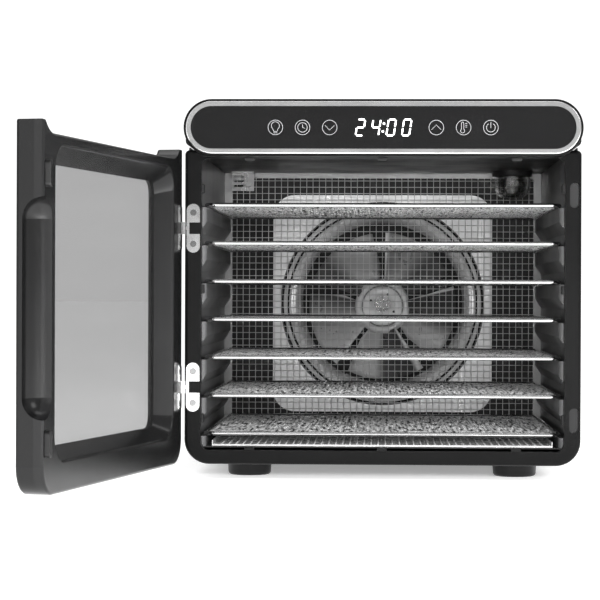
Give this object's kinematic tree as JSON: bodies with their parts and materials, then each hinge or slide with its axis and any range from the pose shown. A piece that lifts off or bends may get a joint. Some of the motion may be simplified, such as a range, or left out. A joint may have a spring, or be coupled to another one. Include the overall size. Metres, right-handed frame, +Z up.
{
  "type": "food dehydrator",
  "caption": "Black cabinet food dehydrator with a side-hung glass door, sliding wire trays, rear fan behind a guard and a touch control panel.",
  "frame": {"origin": "on the table, under the middle of the front frame's front face", "axes": "+X to the right as a user faces the cabinet, +Y to the rear, +Z up"},
  "size_m": [0.4305, 0.7558, 0.3247],
  "materials": {
    "body_plastic": "fine semi-gloss black",
    "casing_coat": "satin black coat",
    "liner_coat": "smooth black liner",
    "rack_plastic": "semi-gloss moulded black",
    "steel_sheet": "brushed stainless sheet",
    "steel_wire": "bright stainless wire",
    "hinge_steel": "satin plated",
    "screw_steel": "zinc plated",
    "clip_plastic": "moulded black",
    "foot_rubber": "smooth black rubber",
    "magnet_steel": "grey",
    "fan_aluminium": "pressed sheet",
    "shaft_steel": "machined",
    "lamp_clear": "clear",
    "trim_silver": "satin silver",
    "touch_gloss": "gloss black",
    "board_green": "solder resist",
    "door_pane": "lightly tinted, tempered"
  },
  "bodies": {
    "housing": {"front_frame": "body_plastic", "top_cover": "body_plastic", "control_housing": "body_plastic", "casing_wrap": "casing_coat", "rear_panel": "casing_coat", "left_tray_rack": "rack_plastic", "right_tray_rack": "rack_plastic", "chamber_floor": "liner_coat", "chamber_ceiling": "liner_coat", "chamber_back_wall": "liner_coat", "fan_plate": "steel_sheet", "fan_rim": "steel_sheet", "fan_housing": "steel_sheet", "sensor_bracket": "steel_sheet", "fan_guard_frame": "steel_wire", "fan_guard_mesh": "steel_wire", "body_hinge_leaves": "hinge_steel", "hinge_pins": "hinge_steel", "case_screws": "screw_steel", "body_hinge_screws": "screw_steel", "frame_clips": "clip_plastic", "lamp_socket": "clip_plastic", "mains_inlet": "clip_plastic", "thermal_cutout": "clip_plastic", "feet": "foot_rubber", "frame_magnets": "magnet_steel", "fan_motor": "shaft_steel", "heating_element": "shaft_steel", "lamp_glass": "lamp_clear", "lamp_bulb": "lamp_clear", "control_trim_ring": "trim_silver", "touch_panel": "touch_gloss", "control_board": "board_green", "power_board": "board_green"},
    "door": {"door_frame": "body_plastic", "door_inner_frame": "body_plastic", "door_glass": "door_pane", "door_strikes": "magnet_steel", "door_hinge_leaves": "hinge_steel", "door_hinge_screws": "screw_steel"},
    "fan": {"fan_blades": "fan_aluminium", "fan_nut": "shaft_steel", "motor_shaft": "shaft_steel"},
    "drip_tray_body": {"drip_tray": "steel_sheet"},
    "tray_1": {"tray_1_frame": "steel_wire", "tray_1_mesh": "steel_wire"},
    "tray_2": {"tray_2_frame": "steel_wire", "tray_2_mesh": "steel_wire"},
    "tray_3": {"tray_3_frame": "steel_wire", "tray_3_mesh": "steel_wire"},
    "tray_4": {"tray_4_frame": "steel_wire", "tray_4_mesh": "steel_wire"},
    "tray_5": {"tray_5_frame": "steel_wire", "tray_5_mesh": "steel_wire"},
    "tray_6": {"tray_6_frame": "steel_wire", "tray_6_mesh": "steel_wire"},
    "tray_7": {"tray_7_frame": "steel_wire", "tray_7_mesh": "steel_wire"}
  },
  "joints": [
    {"name": "door_swing", "type": "hinge", "parent": "housing", "child": "door", "pos_m": [-0.1709, -0.0009, 0.1473], "axis": [0, 0, -1], "range_deg": [-101.6, 68.4]},
    {"name": "fan_spin", "type": "hinge", "parent": "housing", "child": "fan", "pos_m": [0, 0.345, 0.1505], "axis": [0, 1, 0], "continuous": true},
    {"name": "tray_1_slide", "type": "slide", "parent": "housing", "child": "tray_1", "axis": [0, -1, 0], "range_m": [0, 0.29]},
    {"name": "tray_2_slide", "type": "slide", "parent": "housing", "child": "tray_2", "axis": [0, -1, 0], "range_m": [0, 0.29]},
    {"name": "tray_3_slide", "type": "slide", "parent": "housing", "child": "tray_3", "axis": [0, -1, 0], "range_m": [0, 0.29]},
    {"name": "tray_4_slide", "type": "slide", "parent": "housing", "child": "tray_4", "axis": [0, -1, 0], "range_m": [0, 0.29]},
    {"name": "tray_5_slide", "type": "slide", "parent": "housing", "child": "tray_5", "axis": [0, -1, 0], "range_m": [0, 0.29]},
    {"name": "tray_6_slide", "type": "slide", "parent": "housing", "child": "tray_6", "axis": [0, -1, 0], "range_m": [0, 0.29]},
    {"name": "tray_7_slide", "type": "slide", "parent": "housing", "child": "tray_7", "axis": [0, -1, 0], "range_m": [0, 0.29]},
    {"name": "drip_tray_slide", "type": "slide", "parent": "housing", "child": "drip_tray_body", "axis": [0, -1, 0], "range_m": [0, 0.29]}
  ]
}
